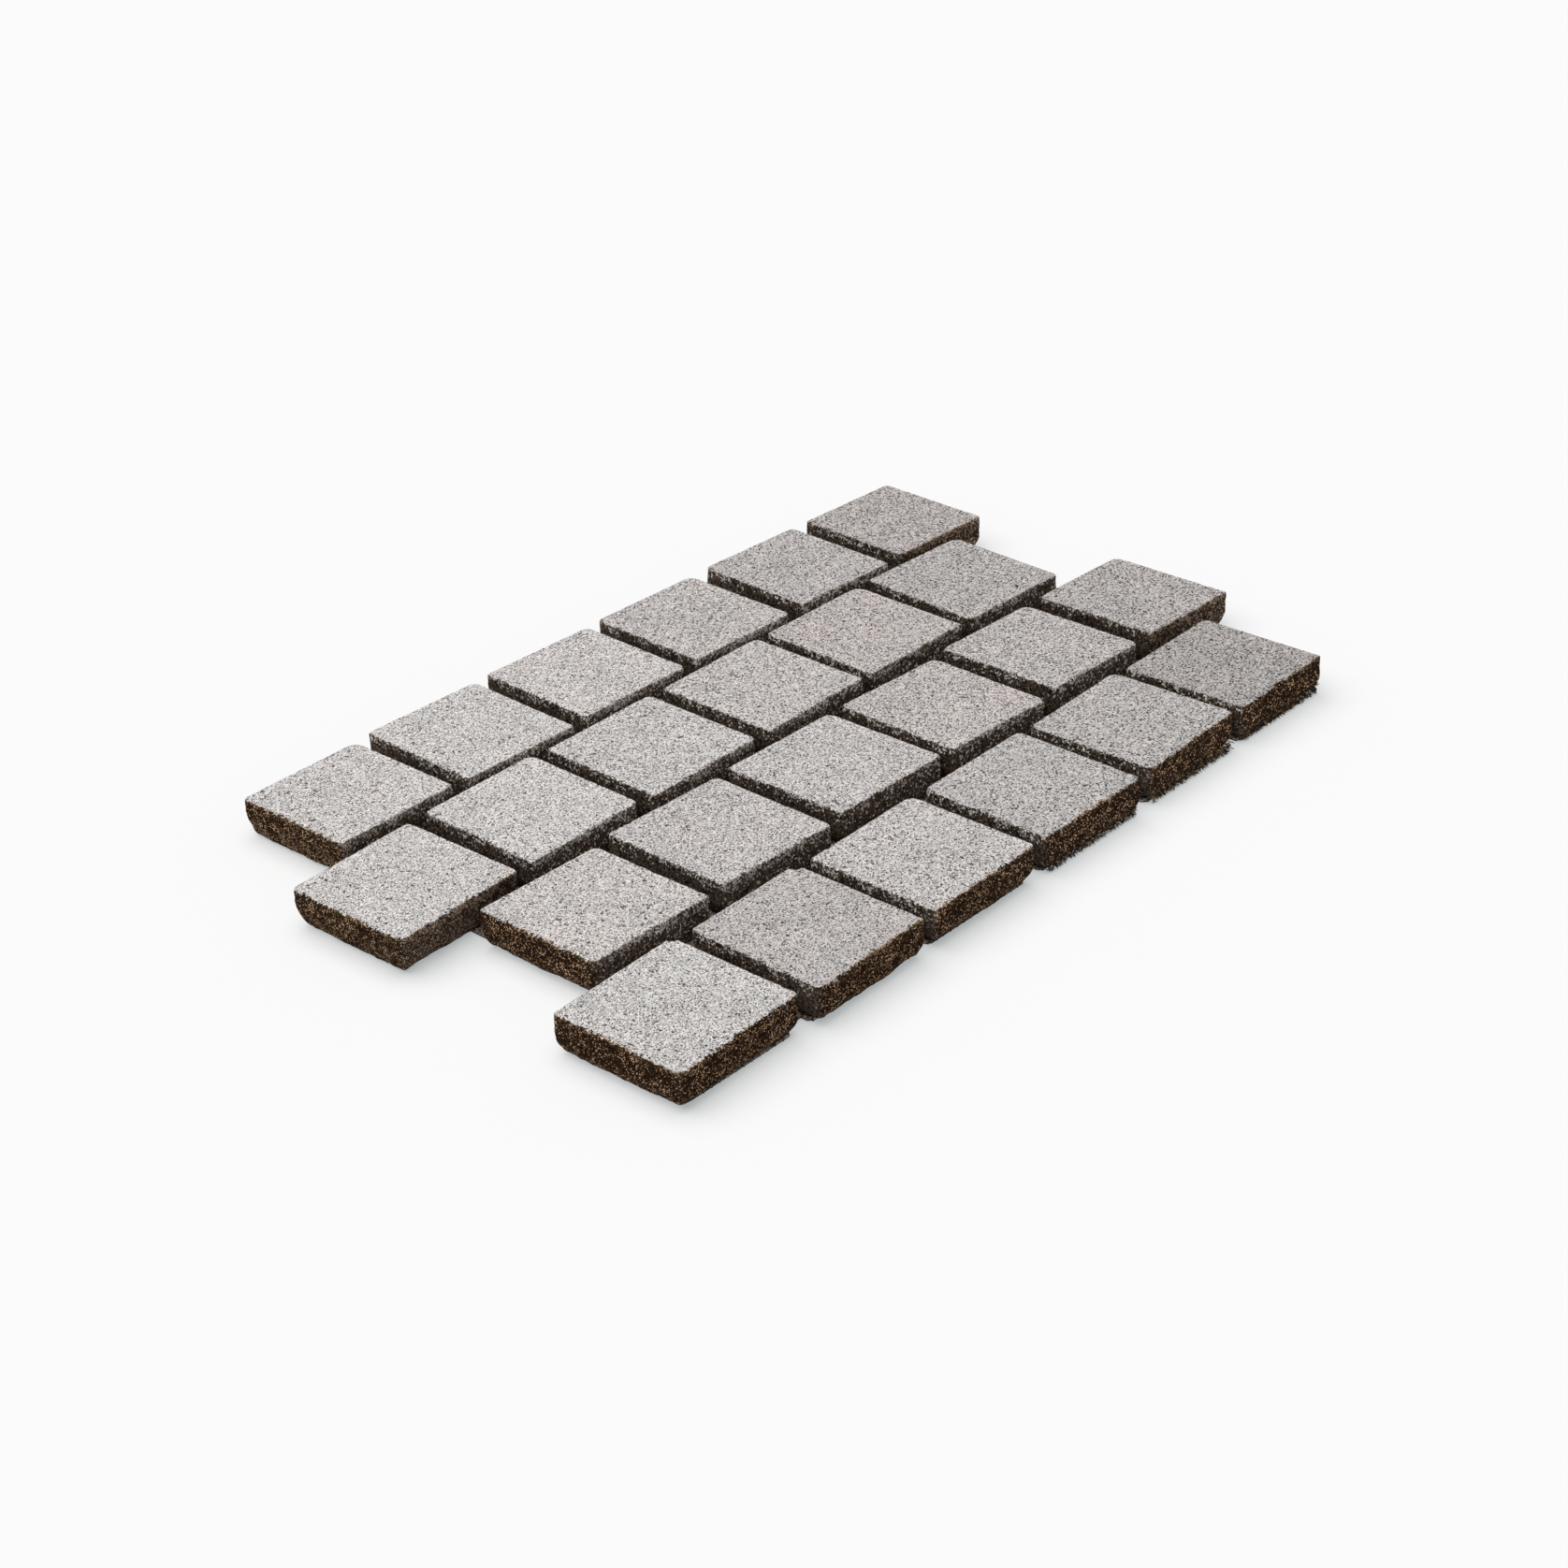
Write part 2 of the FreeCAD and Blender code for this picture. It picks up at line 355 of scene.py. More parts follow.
class StoneSettings(bpy.types.PropertyGroup):
    """Colours and grain of the granite."""

    grain: FloatProperty(name="Grain", default=0.85 * MM, min=0.2 * MM, **LENGTH,
                         description="Size of the crystals")
    quartz: FloatVectorProperty(name="Quartz", default=colour(140, 136, 134), **COLOUR,
                                description="Grey crystals")
    feldspar: FloatVectorProperty(name="Feldspar", default=colour(212, 209, 207), **COLOUR,
                                  description="Pale crystals")
    glint: FloatVectorProperty(name="Glint", default=colour(252, 251, 249), **COLOUR,
                               description="Brightest crystals")
    mica: FloatVectorProperty(name="Mica", default=colour(22, 21, 21), **COLOUR,
                              description="Dark flakes")
    speck: FloatVectorProperty(name="Speck", default=colour(40, 37, 37), **COLOUR,
                               description="Few and larger black specks")
    blush: FloatVectorProperty(name="Blush", default=(1.03, 0.95, 0.935, 1.0), subtype="COLOR", size=4,
                               min=0.0, max=1.1, description="Warm tint that some setts have")
    side: FloatVectorProperty(name="Split side", default=colour(60, 40, 25), **COLOUR,
                              description="Weathered split face")
    side_dark: FloatVectorProperty(name="Side stain", default=colour(16, 8, 2), **COLOUR,
                                   description="Darkest patches of the split face")
    side_fleck: FloatVectorProperty(name="Side fleck", default=colour(240, 200, 160), **COLOUR,
                                    description="Pale crystals in the split face")
    side_rim: FloatVectorProperty(name="Side rim", default=colour(120, 98, 70), **COLOUR,
                                  description="Tan patches close under the top edge")
    # The joint colours are partly dust and partly painted light: lighter than the bare side's to make up
    # for the shade in the joints.
    joint: FloatVectorProperty(name="Joint wall", default=colour(116, 100, 87), **COLOUR,
                               description="Split face inside a joint")
    joint_dark_and_painted_light: FloatVectorProperty(name="Joint stain", default=colour(60, 49, 41), **COLOUR,
                                    description="Darkest patches inside a joint")
    joint_fleck_and_painted_light: FloatVectorProperty(name="Joint fleck", default=colour(250, 244, 238), **COLOUR,
                                     description="Dusty crystals inside a joint")
    tone_spread: FloatProperty(name="Tone spread", default=0.05, min=0.0, max=0.5,
                               description="How much the setts differ in lightness")


class SheetSettings(bpy.types.PropertyGroup):
    """The net backing and the residue on it."""

    strand_pitch: FloatProperty(name="Strand pitch", default=6.0 * MM, min=MM, **LENGTH,
                                description="From one strand of the net to the next")
    strand: FloatProperty(name="Strand thickness", default=1.1 * MM, min=0.1 * MM, **LENGTH,
                          description="Thickness of a strand")
    corner: FloatProperty(name="Worn corner", default=12.0 * MM, min=0.0, **LENGTH,
                          description="How much of each corner of the backing is worn off")
    film: FloatProperty(name="Film thickness", default=1.0 * MM, min=0.1 * MM, **LENGTH,
                        description="Thickness of the adhesive film on the net")
    black: FloatVectorProperty(name="Net black", default=colour(30, 28, 27), **COLOUR,
                               description="Colour of the net and its film")
    residue: FloatVectorProperty(name="Residue brown", default=colour(52, 37, 24), **COLOUR,
                                 description="Colour of the fibres")
    residue_count: IntProperty(name="Residue fibres", default=1200, min=0,
                               description="Fibres that hang on each sett's foot")
    residue_length: FloatProperty(name="Residue length", default=2.1 * MM, min=0.1 * MM, **LENGTH,
                                  description="Length of a fibre before its own scale")
    residue_thickness: FloatProperty(name="Residue thickness", default=0.7 * MM, min=0.1 * MM, **LENGTH,
                                     description="Thickness of a fibre's root")
    residue_height: FloatProperty(name="Residue height", default=2.6 * MM, min=0.0, **LENGTH,
                                  description="Level that the fibres hang from")


class StageSettings(bpy.types.PropertyGroup):
    """Floor, light and camera."""

    floor: FloatVectorProperty(name="Floor", default=colour(251, 251, 251), **COLOUR,
                               description="Colour of the floor and background")
    glow: FloatProperty(name="Floor glow", default=0.38, min=0.0, max=1.0,
                        description="Share of the floor's tone that the shadow leaves alone")
    glow_tint: FloatVectorProperty(name="Glow tint", default=(0.94, 1.0, 1.01), subtype="COLOR", size=3,
                                   min=0.0, max=2.0, description="Colour that the floor's shadow takes on")
    sky: FloatProperty(name="Sky light", default=0.25, min=0.0,
                       description="Strength of the even light from all round")
    lamp: FloatProperty(name="Lamp", default=2.473, min=0.0, description="Strength of the soft lamp")
    lamp_softness: FloatProperty(name="Lamp softness", default=math.radians(85), subtype="ANGLE",
                                 description="Angle that the lamp covers")
    lamp_turn: FloatProperty(name="Lamp bearing", default=math.radians(135), subtype="ANGLE",
                             description="Bearing that the lamp shines from, from +X")
    lamp_height: FloatProperty(name="Lamp height", default=math.radians(72), subtype="ANGLE",
                               description="Height of the lamp above the horizon")
    camera_place: FloatVectorProperty(name="Camera place", default=(-1.1419, -1.0266, 0.817),
                                      subtype="TRANSLATION", unit="LENGTH",
                                      description="Where the camera stands")
    camera_turn: FloatProperty(name="Camera bearing", default=math.radians(47.63), subtype="ANGLE",
                               description="Bearing that it looks along, from +Y to +X")
    camera_tip: FloatProperty(name="Camera tip", default=math.radians(28.47), subtype="ANGLE",
                              description="How far it looks down")
    camera_roll: FloatProperty(name="Camera roll", default=math.radians(2.23), subtype="ANGLE",
                               description="How far its right side hangs low")


def new_material(name):
    """An empty node material and its tree, shader and output."""
    material = bpy.data.materials.new(name)
    material.use_nodes = True
    material.node_tree.nodes.clear()
    tree = Tree(material.node_tree)
    shader = tree.add("ShaderNodeBsdfPrincipled")
    output = tree.add("ShaderNodeOutputMaterial")
    material.node_tree.links.new(shader.outputs[0], output.inputs[0])
    return material, tree, shader


def granite_material(stone):
    """Flamed granite top, ragged arris and brown split sides, told apart by the sett's own attributes."""
    material, tree, shader = new_material("granite")
    place = tree.get("ShaderNodeTexCoord", out="Object")
    mark = {name: tree.get("ShaderNodeAttribute", out="Fac", attribute_name=name)
            for name in ("tone", "warmth", "edge", "open", "wear", "dust", "grain", "end", "shade")}
    shut = 1.0 - mark["open"]

    # Flamed top: pale and grey crystals, dark flakes and a few black specks, clouded and tinted. Its tone
    # carries painted shade that darkens the setts towards the mat's +X end.
    grained = tree.scaled(place, 1.0 / mark["grain"])
    crystal = tree.chance(grained, stone.grain * CRYSTAL_SHARE)
    crystals = (stone.quartz, stone.feldspar, stone.glint)
    grey = tree.ramp(crystal, list(zip(CRYSTAL_STOPS, crystals)))
    in_flake = 1.0 - tree.cells(grained, stone.grain * FLAKE_SHARE).rise(*FLAKE_EDGE)
    has_flake = tree.chance(grained, stone.grain * FLAKE_SHARE).rise(*FLAKE_LUCK)
    grey = tree.blend(in_flake * has_flake, grey, stone.mica)
    has_speck = tree.chance(place, stone.grain * SPECK_SHARE, 1).rise(*SPECK_LUCK)
    grey = tree.blend(has_speck * SPECK_DEPTH, grey, stone.speck)
    cloud = tree.noise(place, CLOUD_SIZE, detail=3.0)
    tint = tree.blend((mark["warmth"] * cloud * BLUSH_DEPTH).clamped(), WHITE, stone.blush)
    top = tree.scaled(tree.vector("MULTIPLY", grey, tint), mark["tone"] * cloud.spread(*CLOUD_TONES))

    # How far inside the top edge a point is, in millimetres. The line is ragged where the sett is worn.
    tears = (tree.noise(place, TEAR_SIZE, detail=3.0, roughness=0.6) - 0.5) * TEAR_SWING
    tears = tears + (tree.noise(place, BITE_SIZE, detail=1.0) - 0.5) * BITE_SWING - TEAR_INSET
    inside = mark["edge"] / MM - EDGE_INSET + tears * mark["wear"].spread(TEAR_LEAST, 1.0)
    on_top = inside.rise(*TOP_BAND)
    near_top = inside.rise(*UPPER_SIDE)
    rim = (1.0 - inside.rise(*RIM_BAND)) * mark["open"] * mark["wear"] * cloud.rise(*RIM_PATCHES)
    top = tree.blend(rim, top, tree.vector("MULTIPLY", top, RIM_TINT))

    # Split sides: brown and stained where they are bare, and grey with dusty crystals in the joints. The
    # joints' colours are partly grey dust and partly painted light, much lighter than the bare sides to
    # make up for the shade that falls in the joints.
    patch = tree.noise(place, PATCH_SIZE, detail=4.0, roughness=0.62)
    dusty = near_top * mark["dust"] * DUST_DEPTH * shut * (1.0 - mark["end"])
    light = tree.chance(grained, stone.grain * SIDE_SHARE, 2) + patch * PATCH_SWING - PATCH_LESS + dusty
    # Painted light and shade on a bare end face, set for each sett.
    light = light + mark["end"] * mark["open"] * mark["shade"]
    bright = tree.blend(mark["open"], stone.joint_fleck_and_painted_light, stone.side_fleck)
    dim = tree.blend(mark["open"], stone.joint_dark_and_painted_light, stone.side_dark)
    brown = tree.blend(mark["open"], stone.joint, stone.side)
    brown = tree.blend(light.rise(*SIDE_LIGHT), dim, brown)
    under_rim = inside.rise(*UNDER_RIM) * cloud.rise(*STAIN_PATCHES) * mark["open"]
    brown = tree.blend(under_rim * STAIN_DEPTH, brown, stone.side_rim)
    brown = tree.blend(light.rise(*FLECK_LUCK) * mark["open"], brown, bright)
    pits = tree.noise(place, PIT_SIZE, detail=3.0, roughness=0.65)
    hollows = (pits.rise(*HOLLOWS) - 0.5) * HOLLOW_DEPTH
    brown = tree.scaled(brown, 1.0 + (hollows - mark["end"] * END_DARKER) * shut)
    below_rim = near_top * (1.0 - inside.rise(*DUST_LINE))
    # Pale crumbs on the joint walls: partly crystals and dust, partly painted light, many and near white to
    # make up for the shade in the joints.
    crumb = tree.chance(grained, stone.grain * CRUMB_SHARE, 2)
    crumb = crumb + patch.rise(*CRUMB_PATCHES) * below_rim * CRUMB_RIM
    crumb = crumb + dusty * CRUMB_DUST - mark["end"] * CRUMB_END
    brown = tree.blend(crumb.rise(*CRUMB_LUCK) * shut, brown, bright)

    tree.feed(shader.inputs["Base Color"], tree.blend(on_top, brown, top))
    roughness = STONE_ROUGHNESS - on_top * TOP_SMOOTHER + crystal * CRYSTAL_ROUGHER
    tree.feed(shader.inputs["Roughness"], roughness)
    shader.inputs["Specular IOR Level"].default_value = STONE_GLOSS
    relief = pits * on_top.spread(*PIT_DEPTHS) * MM + crystal * on_top.spread(*CRYSTAL_DEPTHS) * MM
    tree.dent(shader, relief, STONE_DENT)
    return material


# Colours of the dust on the film, from the clean hollows to the thickest. They are partly dust and partly
# painted light, made lighter to make up for the deep shade at the bottom of the joints.
FILM_DUST_AND_PAINTED_LIGHT = [(0.3, colour(44, 35, 28)), (0.55, colour(100, 86, 74)), (0.8, colour(150, 139, 127)),
              (1.0, colour(190, 181, 170))]


def net_material(sheet):
    """Matt black net in adhesive, dusty where it faces up in the joints. That dust is partly painted light,
    lighter than dust alone against the shade there.
    """
    material, tree, shader = new_material("net_backing")
    place = tree.get("ShaderNodeTexCoord", out="Object")
    dust = tree.noise(place, FILM_DUST_SIZE, detail=4.0, roughness=0.7)
    grit = tree.chance(place, GRIT_SIZE)
    upper = tree.parts(place)[2].rise(*FILM_FACE)
    lumps = tree.noise(place, PIT_SIZE, detail=3.0, roughness=0.65).rise(*HOLLOWS)
    dust_and_painted_light = tree.ramp(grit * GRIT_PART + dust * DUST_PART, FILM_DUST_AND_PAINTED_LIGHT)
    dust_and_painted_light = tree.scaled(dust_and_painted_light, lumps.spread(*LUMP_TONES))
    tree.feed(shader.inputs["Base Color"], tree.blend(upper, sheet.black, dust_and_painted_light))
    tree.feed(shader.inputs["Roughness"], dust.spread(*NET_ROUGHNESS))
    shader.inputs["Specular IOR Level"].default_value = NET_GLOSS
    tree.dent(shader, tree.noise(place, MM) * NET_RELIEF * MM, NET_DENT)
    return material


def seen_rays(tree):
    """1 for the rays of the camera, of gloss and of glass, and 0 for those that light the mat."""
    ray = tree.add("ShaderNodeLightPath").outputs
    camera, glossy, through = (Wire(tree, ray["Is " + kind + " Ray"])
                               for kind in ("Camera", "Glossy", "Transmission"))
    return (camera + glossy + through).clamped()


def floor_material(stage):
    """Plain pale floor. Part of its tone glows where it is seen, so that its shadow stays light."""
    material, tree, shader = new_material("floor")
    place = tree.get("ShaderNodeTexCoord", out="Object")
    seen = seen_rays(tree)
    tone = stage.floor[:3]
    glow = tuple(part * stage.glow * tint for part, tint in zip(tone, stage.glow_tint))
    tree.feed(shader.inputs["Base Color"], tree.vector("SUBTRACT", tone, tree.scaled(glow, seen)))
    tree.feed(shader.inputs["Emission Color"], tree.scaled(glow, seen))
    shader.inputs["Emission Strength"].default_value = 1.0
    tree.feed(shader.inputs["Roughness"], 0.95 + tree.noise(place, 0.4) * 0.04)
    shader.inputs["Specular IOR Level"].default_value = 0.0
    return material


SETT_INPUTS = {
    "NodeSocketFloat": ("Top height", "Foot level", "Foot draw-in", "Foot height", "Foot corner",
                        "Arris wear", "Chip width", "Large chip width", "Chip steepness", "Knocked reach",
                        "Second reach", "Split relief", "Hackle relief", "Top wave", "Dust", "Grain",
                        "Tone", "End painted light", "Warmth", "Seed"),
    "NodeSocketInt": ("Points around", "Rings under", "Rings up", "Rings across"),
    "NodeSocketVector": ("Open sides", "Knocked spot", "Second spot"),
    "NodeSocketMaterial": ("Stone",),
}


def new_geometry_tree(name, inputs):
    """A geometry tree with inputs named by kind, as (tree, wires of its inputs by name)."""
    group = bpy.data.node_groups.new(name, "GeometryNodeTree")
    group.interface.new_socket("Geometry", in_out="INPUT", socket_type="NodeSocketGeometry")
    for kind, labels in inputs.items():
        for label in labels:
            group.interface.new_socket(label, in_out="INPUT", socket_type=kind)
    group.interface.new_socket("Geometry", in_out="OUTPUT", socket_type="NodeSocketGeometry")
    tree = Tree(group)
    source = tree.add("NodeGroupInput")
    wires = {socket.name: Wire(tree, socket) for socket in source.outputs if socket.name}
    return tree, wires


def sett_tree():
    """Grows a split sett from its top outline. A grid is wrapped from the middle of the underside, round
    the foot, up the split side, over the chipped arris and in to the middle of the flamed top."""
    tree, given = new_geometry_tree("split_sett", SETT_INPUTS)
    curve = tree.get("GeometryNodeMeshToCurve", {0: given["Geometry"]})
    box = tree.add("GeometryNodeBoundBox", {0: given["Geometry"]})
    low, high = (Wire(tree, box.outputs[name]) for name in ("Min", "Max"))
    middle = tree.scaled(tree.vector("ADD", low, high), 0.5)

    # The flat grid: X runs once round the sett, and Y runs in rings under it, up its side and across.
    rings = given["Rings under"] + given["Rings up"] + given["Rings across"]
    sizes = {"Size X": 1.0, "Size Y": 1.0, "Vertices X": given["Points around"] + 1.0,
             "Vertices Y": rings + 1.0}
    grid = tree.get("GeometryNodeMeshGrid", sizes, "Mesh")
    grid_x, grid_y, _ = tree.parts(tree.get("GeometryNodeInputPosition"))
    ring = (grid_y + 0.5) * rings
    under = (1.0 - ring / given["Rings under"]).clamped()
    up = ((ring - given["Rings under"]) / given["Rings up"]).clamped()
    across = ((ring - given["Rings under"] - given["Rings up"]) / given["Rings across"]).clamped()

    # The place on the top outline that each column hangs from. Edges that face the near left wear most.
    sample = tree.add("GeometryNodeSampleCurve", {"Curves": curve, "Factor": grid_x + 0.5}, mode="FACTOR")
    edge = Wire(tree, sample.outputs["Position"])
    outward = tree.vector("CROSS_PRODUCT", Wire(tree, sample.outputs["Tangent"]), (0.0, 0.0, 1.0))
    arm = tree.vector("SUBTRACT", edge, middle)
    reach = tree.vector("LENGTH", arm, out="Value")
    spoke = tree.vector("NORMALIZE", arm)
    east, north, _ = tree.parts(outward)
    wear = (0.5 - (east + north) * 0.5).clamped()

    # How far the chipped arris bites in there, and how far down. Each pattern has a seed of its own.
    seed = given["Seed"]
    chips = tree.noise(edge, CHIP_SIZE, detail=4.0, roughness=0.7, seed=seed).rise(*CHIP_RANGE)
    large = tree.noise(edge, LARGE_CHIP_SIZE, seed=seed + 29.0).rise(*LARGE_CHIP_RANGE)
    nicks = tree.noise(edge, NICK_SIZE, seed=seed + 3.0)
    knock = 0.0
    for which in ("Knocked", "Second"):
        apart = tree.vector("DISTANCE", edge, given[which + " spot"], out="Value")
        knock = knock + (given[which + " reach"] - apart).at_least(0.0) * (0.5 + nicks)
    bite = given["Chip width"] * chips + given["Large chip width"] * large
    bite = given["Arris wear"] * nicks.spread(*ARRIS_NICKS) + bite * wear.spread(*CHIP_WEAR) + knock
    bevel = bite * given["Chip steepness"]

    # Along: the way from the top edge to each ring, inwards on the top and negative down the side.
    height = given["Top height"] - given["Foot level"]
    below = height * (1.0 - up) ** UP_SPACING
    along = across ** ACROSS_SPACING * reach - below
    turned = ((along + bevel) / (bite + bevel)).clamped()
    inward = turned * bite + (along - bite).at_least(0.0)
    drop = (1.0 - turned) * bevel + (0.0 - along - bevel).at_least(0.0)

    # The foot curls in under the side, more where it is worn, and most at the corners.
    side_spot = tree.vector("ADD", edge, tree.joined(z=drop))
    worn = tree.noise(side_spot, WEAR_SIZE, detail=1.0, seed=seed + 7.0)
    curled = (1.0 - (height - drop) / given["Foot height"]).clamped() ** FOOT_CURL
    draw = given["Foot draw-in"] * worn.spread(*FOOT_WORN) * wear.spread(*FOOT_WEARS) * curled
    inward = inward + draw * reach / HALF_SETT
    inward = inward + (reach - CORNER_REACH).at_least(0.0) * given["Foot corner"] * curled

    # Humps and hackles push the split side out and in, and the underside closes to the middle.
    humps = (tree.noise(side_spot, HUMP_SIZE, seed=seed + 11.0) - HUMP_MIDDLE) * 2.0
    hackles = tree.noise(side_spot, HACKLE_SIZE, detail=3.0, roughness=0.6, seed=seed + 17.0)
    hackles = (hackles - 0.5) * 2.0
    push = humps * given["Split relief"] + hackles * given["Hackle relief"]
    push = (drop / FREE_DROP).clamped() * push
    flat = tree.vector("SUBTRACT", edge, tree.scaled(spoke, inward))
    flat = tree.vector("ADD", flat, tree.scaled(outward, push))
    to_middle = tree.vector("SUBTRACT", flat, middle)
    flat = tree.vector("ADD", middle, tree.scaled(to_middle, 1.0 - under))
    waves = tree.noise(flat, WAVE_SIZE, seed=seed + 23.0)
    sink = waves * given["Top wave"] * (along / WAVE_EDGE).clamped()
    flat_x, flat_y, _ = tree.parts(flat)
    point = tree.joined(flat_x, flat_y, given["Top height"] - drop - sink)

    # What the stone's material reads on each point.
    open_end, open_far, open_near = tree.parts(given["Open sides"])
    bare = (east * open_end).at_least(north * open_far).at_least(north * open_near * -1.0).clamped()
    shape = tree.store(grid, "edge", along - bite)
    for label, wire in (("tone", given["Tone"]), ("warmth", given["Warmth"]), ("open", bare),
                        ("wear", wear), ("dust", given["Dust"]), ("grain", given["Grain"]),
                        ("end", east * east), ("shade", given["End painted light"])):
        shape = tree.store(shape, label, wire)
    shape = tree.get("GeometryNodeSetPosition", {"Geometry": shape, "Position": point})
    shape = tree.get("GeometryNodeMergeByDistance", {"Geometry": shape, "Distance": WELD})
    shape = tree.get("GeometryNodeSetShadeSmooth", {"Geometry": shape, "Shade Smooth": True})
    return tree.close(shape, given["Stone"])


def top_outline(node):
    """Corners of a sett's top outline in order, read off its CAD node where the sides meet the arris."""
    low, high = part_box(node)
    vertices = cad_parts[node].data.vertices
    shoulder = sorted({round(v.co.z, 5) for v in vertices})[-2]
    corners = {(round(v.co.x, 6), round(v.co.y, 6)) for v in vertices
               if abs(v.co.z - shoulder) < 0.1 * MM}
    middle = (low + high) / 2.0
    return sorted(corners, key=lambda corner: math.atan2(corner[1] - middle.y, corner[0] - middle.x))


def new_object(name, data):
    """An object in the scene that shows a mesh, or is a lamp or camera."""
    thing = bpy.data.objects.new(name, data)
    bpy.context.scene.collection.objects.link(thing)
    return thing


def wire_object(name, points, edges):
    """An object of bare edges, for a geometry tree to grow from."""
    mesh = bpy.data.meshes.new(name)
    mesh.from_pydata(points, edges, [])
    return new_object(name, mesh)


def grow(thing, group, values):
    """Runs a geometry tree on an object and keeps the result as its plain mesh."""
    modifier = thing.modifiers.new("grow", "NODES")
    modifier.node_group = group
    for item in group.interface.items_tree:
        if item.in_out == "INPUT" and item.name in values:
            modifier[item.identifier] = values[item.name]
    thing.data.update()
    graph = bpy.context.evaluated_depsgraph_get()
    mesh = bpy.data.meshes.new_from_object(thing.evaluated_get(graph))
    thing.modifiers.remove(modifier)
    thing.data = mesh
    if not mesh.polygons:
        raise RuntimeError("no mesh came out for " + thing.name)
    return thing


def open_sides(node):
    """How far a sett's sides face out of the mat: its -X or +X side (as -1 or 1), its +Y and -Y side."""
    row, column = int(node[6]), int(node[9])
    steps_out = column == (1 if row % 2 == 0 else 6)
    inner = STEPPED_OPEN if steps_out else 0.0
    return {1: -1.0, 6: 1.0}.get(column, 0.0), 1.0 if row == 1 else inner, 1.0 if row == 4 else inner


def knocked_spots(node):
    """Where corners of a sett's top are knocked off and how far the chips reach, as the tree's inputs."""
    low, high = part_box(node)
    middle, half = (low + high) / 2.0, (high - low) / 2.0
    values = {}
    for which, (across, along, reach) in zip(("Knocked", "Second"), KNOCKED.get(node, ())):
        values[which + " spot"] = (middle.x + across * half.x, middle.y + along * half.y, TOP_Z)
        values[which + " reach"] = reach
    return values


def lot(number, step, start, stretch):
    """A sett's fixed random share, from its number."""
    return math.sin(number * step + start) * stretch % 1.0


def stone_looks(number, node, stone):
    """How a sett's stone differs from the others', by its place in the mat and by lot."""
    low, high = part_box(node)
    along_mat = (low.x + high.x) / 2.0 / (MAT_HIGH[0] - MAT_LOW[0])
    towards_far = (low.y + high.y) / (MAT_HIGH[1] - MAT_LOW[1])
    # Painted shade: the tone falls towards the mat's +X end, as the light falls off along it.
    tone = TONE_MIDDLE + PAINTED_SHADE_ALONG_MAT * along_mat
    warmth = lot(number, *WARMTH_LOT)
    return {
        "Tone": tone + stone.tone_spread * (lot(number, *TONE_LOT) - 0.5) + TONE_OVER.get(node, 0.0),
        "End painted light": END_PAINTED_LIGHT.get(node, 0.0),
        "Warmth": WARMTH_MIDDLE + WARMTH_CHANGE * along_mat + WARMTH_SPREAD * warmth * warmth,
        "Grain": GRAIN_MIDDLE + GRAIN_CHANGE * along_mat,
        "Dust": min(max(DUST_LEAST, towards_far * DUST_FAR), 1.0),
        "Seed": SEED_START + SEED_STEP * number}


class SETTMAT_OT_setts(bpy.types.Operator):
    """Dresses every sett of the mat in split and flamed granite"""

    bl_idname = "settmat.setts"
    bl_label = "Granite setts"

    def execute(self, context):
        form = context.scene.settmat_setts
        stone = context.scene.settmat_stone
        shared = {
            "Top height": TOP_Z, "Foot level": FOOT_Z, "Foot corner": form.foot_corner,
            "Arris wear": form.arris, "Chip width": form.chip, "Large chip width": form.big_chip,
            "Chip steepness": form.chip_drop, "Split relief": form.relief, "Hackle relief": form.hackle,
            "Top wave": form.top_wave, "Points around": form.around, "Rings under": RINGS_UNDER,
            "Rings up": form.up, "Rings across": form.across, "Stone": granite_material(stone)}
        group = sett_tree()
        for number, node in enumerate(SETT_NODES):
            drawn, raised = FOOT_WEAR.get(node, (1.0, 1.0))
            own = {"Foot draw-in": form.foot_in * drawn, "Foot height": form.foot_height * raised,
                   "Open sides": open_sides(node)}
            outline = top_outline(node)
            ends = [(i, (i + 1) % len(outline)) for i in range(len(outline))]
            piece = wire_object("granite_" + node, [(x, y, TOP_Z) for x, y in outline], ends)
            grow(piece, group, shared | own | knocked_spots(node) | stone_looks(number, node, stone))
            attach(piece, "root")
            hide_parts(node)
        return {"FINISHED"}


def sheet_outline():
    """The backing's stepped outline in order, read off the underside of its CAD node."""
    mesh = bmesh.new()
    mesh.from_mesh(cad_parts[SHEET_NODE].data)
    bmesh.ops.remove_doubles(mesh, verts=mesh.verts, dist=WELD)
    under = {face for face in mesh.faces if face.normal.z < -0.9}
    rim = [edge for edge in mesh.edges if sum(face in under for face in edge.link_faces) == 1
           and all(abs(v.co.z) < 0.1 * MM for v in edge.verts)]
    neighbours = {}
    for edge in rim:
        a, b = edge.verts
        neighbours.setdefault(a, []).append(b)
        neighbours.setdefault(b, []).append(a)
    start = min(neighbours, key=lambda v: (v.co.x, v.co.y))
    path = [start]
    before = None
    while True:
        here = path[-1]
        step = [v for v in neighbours[here] if v is not before]
        before = here
        if step[0] is start or len(path) > len(rim):
            break
        path.append(step[0])
    outline = [(v.co.x, v.co.y) for v in path]
    mesh.free()
    return outline


def worn_outline(outline, corner):
    """The outline with its outer corners cut off by corner, or by less where a side is short."""
    points = [Vector(point) for point in outline]
    around = list(zip(points[-1:] + points[:-1], points, points[1:] + points[:1]))
    side = math.copysign(1.0, sum(here.cross(after) for before, here, after in around))
    worn = []
    for before, here, after in around:
        back, ahead = here - before, after - here
        if back.normalized().cross(ahead.normalized()) * side > 0.5:
            cut = min(corner, back.length * LONGEST_CUT, ahead.length * LONGEST_CUT)
            worn += [here - back.normalized() * cut, here + ahead.normalized() * cut]
        else:
            worn.append(here)
    return [tuple(point) for point in worn]


